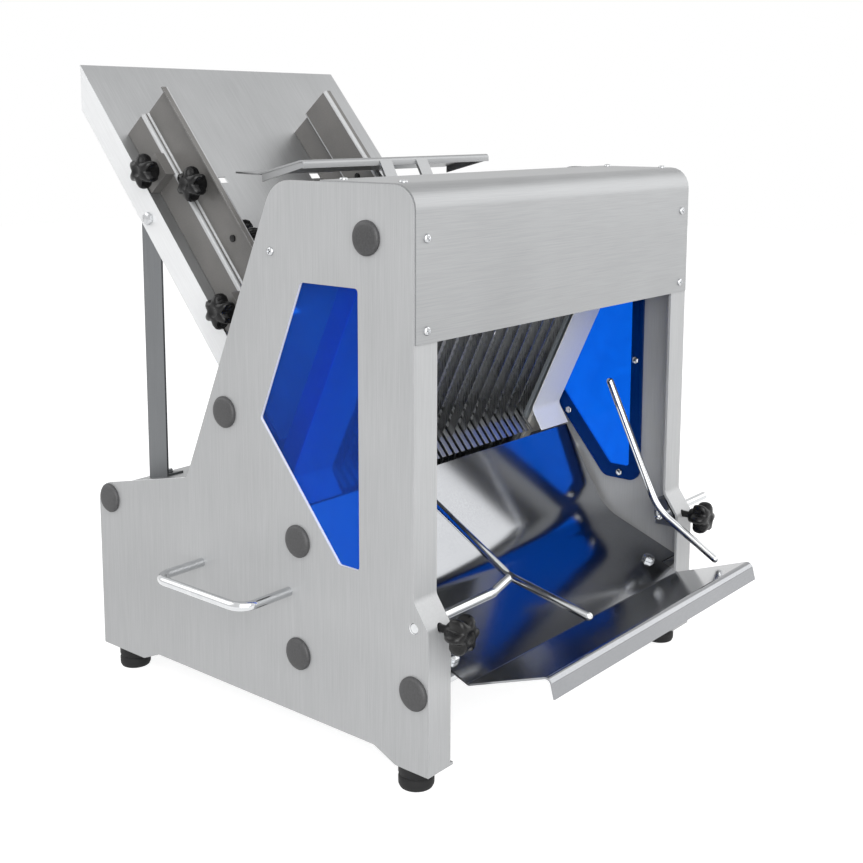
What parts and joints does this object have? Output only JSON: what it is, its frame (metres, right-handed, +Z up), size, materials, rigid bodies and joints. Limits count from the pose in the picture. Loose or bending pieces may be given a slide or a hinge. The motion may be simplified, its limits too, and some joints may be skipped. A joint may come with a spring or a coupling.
{
  "type": "bread slicer machine",
  "caption": "Gravity-fed bread slicer: sheet-steel cabinet with blue side windows, sloping hopper with loaf guides and pusher, reciprocating blades, slide and catch tray.",
  "frame": {"origin": "middle of the machine's outline, on the floor", "axes": "+Z up, +Y towards the hopper, +X to the right seen from the catch tray"},
  "size_m": [0.65, 0.6854, 0.713],
  "materials": {
    "stainless": "brushed",
    "blue_acrylic": "gloss",
    "grey_plastic": "satin",
    "black_plastic": "satin",
    "rubber": "matte",
    "chrome": "polished",
    "painted_grey": "matte",
    "machine_steel": "machined",
    "painted_steel": "satin",
    "white_plastic": "satin",
    "bright_fastener": "bright",
    "green_plastic": "gloss",
    "red_plastic": "gloss"
  },
  "bodies": {
    "cabinet": {"left_side_panel": "stainless", "right_side_panel": "stainless", "left_window_pane": "blue_acrylic", "right_window_pane": "blue_acrylic", "pane_nuts": "bright_fastener", "panel_caps": "grey_plastic", "tie_bars": "chrome", "hood": "stainless", "hood_screws": "bright_fastener", "base_plate": "painted_steel", "rear_cover": "stainless", "feet": "rubber", "left_handle": "chrome", "right_handle": "chrome", "hopper_chute": "stainless", "comb_plate": "stainless", "hopper_struts": "stainless", "hex_bolts": "bright_fastener", "discharge_slide": "stainless", "catch_tray": "stainless", "blade_guards": "stainless", "frame_rails": "white_plastic", "bearing_blocks": "machine_steel", "motor_body": "painted_steel", "drive_belt": "rubber", "clamp_blocks": "machine_steel", "pusher_rod": "chrome", "switch_body": "grey_plastic", "cable_gland": "grey_plastic"},
    "front_frame": {"front_blade_frame": "painted_steel", "front_blades": "stainless"},
    "rear_frame": {"rear_blade_frame": "painted_steel", "rear_blades": "stainless"},
    "crank": {"crankshaft": "machine_steel", "crank_pulley": "machine_steel"},
    "front_rods": {"front_connecting_rods": "machine_steel"},
    "rear_rods": {"rear_connecting_rods": "machine_steel"},
    "motor_rotor": {"motor_pulley": "machine_steel"},
    "left_stem_body": {"left_stem": "chrome"},
    "right_stem_body": {"right_stem": "chrome"},
    "left_slice": {"left_slice_rod": "chrome"},
    "right_slice": {"right_slice_rod": "chrome"},
    "left_clamp": {"left_clamp_knob": "black_plastic"},
    "right_clamp": {"right_clamp_knob": "black_plastic"},
    "left_guide": {"left_loaf_guide": "painted_grey", "left_guide_shoes": "painted_grey"},
    "right_guide": {"right_loaf_guide": "painted_grey", "right_guide_shoes": "painted_grey"},
    "pusher": {"pusher_flap": "stainless"},
    "start": {"start_button": "green_plastic"},
    "stop": {"stop_button": "red_plastic"},
    "left_upper_shoe_star": {"left_upper_shoe_knob": "black_plastic"},
    "left_lower_shoe_star": {"left_lower_shoe_knob": "black_plastic"},
    "left_outer_star": {"left_outer_knob": "black_plastic"},
    "left_inner_star": {"left_inner_knob": "black_plastic"},
    "right_upper_shoe_star": {"right_upper_shoe_knob": "black_plastic"},
    "right_lower_shoe_star": {"right_lower_shoe_knob": "black_plastic"},
    "right_outer_star": {"right_outer_knob": "black_plastic"},
    "right_inner_star": {"right_inner_knob": "black_plastic"}
  },
  "joints": [
    {"name": "front_blade_stroke", "type": "slide", "parent": "cabinet", "child": "front_frame", "axis": [0, -0.4226, 0.9063], "range_m": [-0.012, 0.012]},
    {"name": "rear_blade_stroke", "type": "slide", "parent": "cabinet", "child": "rear_frame", "axis": [0, -0.4226, 0.9063], "range_m": [-0.012, 0.012]},
    {"name": "crank_spin", "type": "hinge", "parent": "cabinet", "child": "crank", "pos_m": [0, 0.07723, 0.09104], "axis": [1, 0, 0], "continuous": true},
    {"name": "front_rod_swing", "type": "hinge", "parent": "crank", "child": "front_rods", "pos_m": [0, 0.06635, 0.08596], "axis": [1, 0, 0], "continuous": true},
    {"name": "rear_rod_swing", "type": "hinge", "parent": "crank", "child": "rear_rods", "pos_m": [0, 0.0881, 0.09611], "axis": [1, 0, 0], "continuous": true},
    {"name": "motor_spin", "type": "hinge", "parent": "cabinet", "child": "motor_rotor", "pos_m": [0, 0.1812, 0.118], "axis": [1, 0, 0], "continuous": true},
    {"name": "left_stem_slide", "type": "slide", "parent": "cabinet", "child": "left_stem_body", "axis": [1, 0, 0], "range_m": [-0.075, 0]},
    {"name": "right_stem_slide", "type": "slide", "parent": "cabinet", "child": "right_stem_body", "axis": [1, 0, 0], "range_m": [-0.09, 0]},
    {"name": "left_slice_turn", "type": "hinge", "parent": "left_stem_body", "child": "left_slice", "pos_m": [-0.1, -0.2138, 0.17], "axis": [1, 0, 0], "range_deg": [-3, 14]},
    {"name": "right_slice_turn", "type": "hinge", "parent": "right_stem_body", "child": "right_slice", "pos_m": [0.204, -0.2138, 0.17], "axis": [1, 0, 0], "range_deg": [-25, 0]},
    {"name": "left_clamp_turn", "type": "hinge", "parent": "cabinet", "child": "left_clamp", "pos_m": [-0.236, -0.2438, 0.17], "axis": [0, -1, 0], "range_deg": [0, 360]},
    {"name": "right_clamp_turn", "type": "hinge", "parent": "cabinet", "child": "right_clamp", "pos_m": [0.236, -0.2438, 0.17], "axis": [0, -1, 0], "range_deg": [0, 360]},
    {"name": "left_guide_slide", "type": "slide", "parent": "cabinet", "child": "left_guide", "axis": [1, 0, 0], "range_m": [0, 0.1]},
    {"name": "right_guide_slide", "type": "slide", "parent": "cabinet", "child": "right_guide", "axis": [1, 0, 0], "range_m": [-0.015, 0.12]},
    {"name": "left_upper_shoe_turn", "type": "hinge", "parent": "left_guide", "child": "left_upper_shoe_star", "pos_m": [-0.199, 0.2089, 0.59111], "axis": [-1, 0, 0], "range_deg": [0, 360]},
    {"name": "left_lower_shoe_turn", "type": "hinge", "parent": "left_guide", "child": "left_lower_shoe_star", "pos_m": [-0.199, 0.08476, 0.44317], "axis": [-1, 0, 0], "range_deg": [0, 360]},
    {"name": "left_outer_turn", "type": "hinge", "parent": "left_guide", "child": "left_outer_star", "pos_m": [-0.199, 0.15196, 0.57771], "axis": [-1, 0, 0], "range_deg": [0, 360]},
    {"name": "left_inner_turn", "type": "hinge", "parent": "left_guide", "child": "left_inner_star", "pos_m": [-0.199, 0.10267, 0.51897], "axis": [1, 0, 0], "range_deg": [0, 360]},
    {"name": "right_upper_shoe_turn", "type": "hinge", "parent": "right_guide", "child": "right_upper_shoe_star", "pos_m": [0.075, 0.2089, 0.59111], "axis": [1, 0, 0], "range_deg": [0, 360]},
    {"name": "right_lower_shoe_turn", "type": "hinge", "parent": "right_guide", "child": "right_lower_shoe_star", "pos_m": [0.075, 0.08476, 0.44317], "axis": [1, 0, 0], "range_deg": [0, 360]},
    {"name": "right_outer_turn", "type": "hinge", "parent": "right_guide", "child": "right_outer_star", "pos_m": [0.075, 0.15196, 0.57771], "axis": [1, 0, 0], "range_deg": [0, 360]},
    {"name": "right_inner_turn", "type": "hinge", "parent": "right_guide", "child": "right_inner_star", "pos_m": [0.075, 0.10267, 0.51897], "axis": [-1, 0, 0], "range_deg": [0, 360]},
    {"name": "pusher_swing", "type": "hinge", "parent": "cabinet", "child": "pusher", "pos_m": [0, -0.0248, 0.518], "axis": [1, 0, 0], "range_deg": [0, 50]},
    {"name": "start_press", "type": "slide", "parent": "cabinet", "child": "start", "axis": [-1, 0, 0], "range_m": [0, 0.003], "stiffness_N_per_m": 600, "springref_m": -0.001},
    {"name": "stop_press", "type": "slide", "parent": "cabinet", "child": "stop", "axis": [-1, 0, 0], "range_m": [0, 0.003], "stiffness_N_per_m": 600, "springref_m": -0.001}
  ],
  "couplings": [
    {"joint": "rear_blade_stroke", "follows": "front_blade_stroke", "ratio": -1},
    {"joint": "front_rod_swing", "follows": "crank_spin", "ratio": -1},
    {"joint": "rear_rod_swing", "follows": "crank_spin", "ratio": -1},
    {"joint": "motor_spin", "follows": "crank_spin", "ratio": 2.2228}
  ]
}
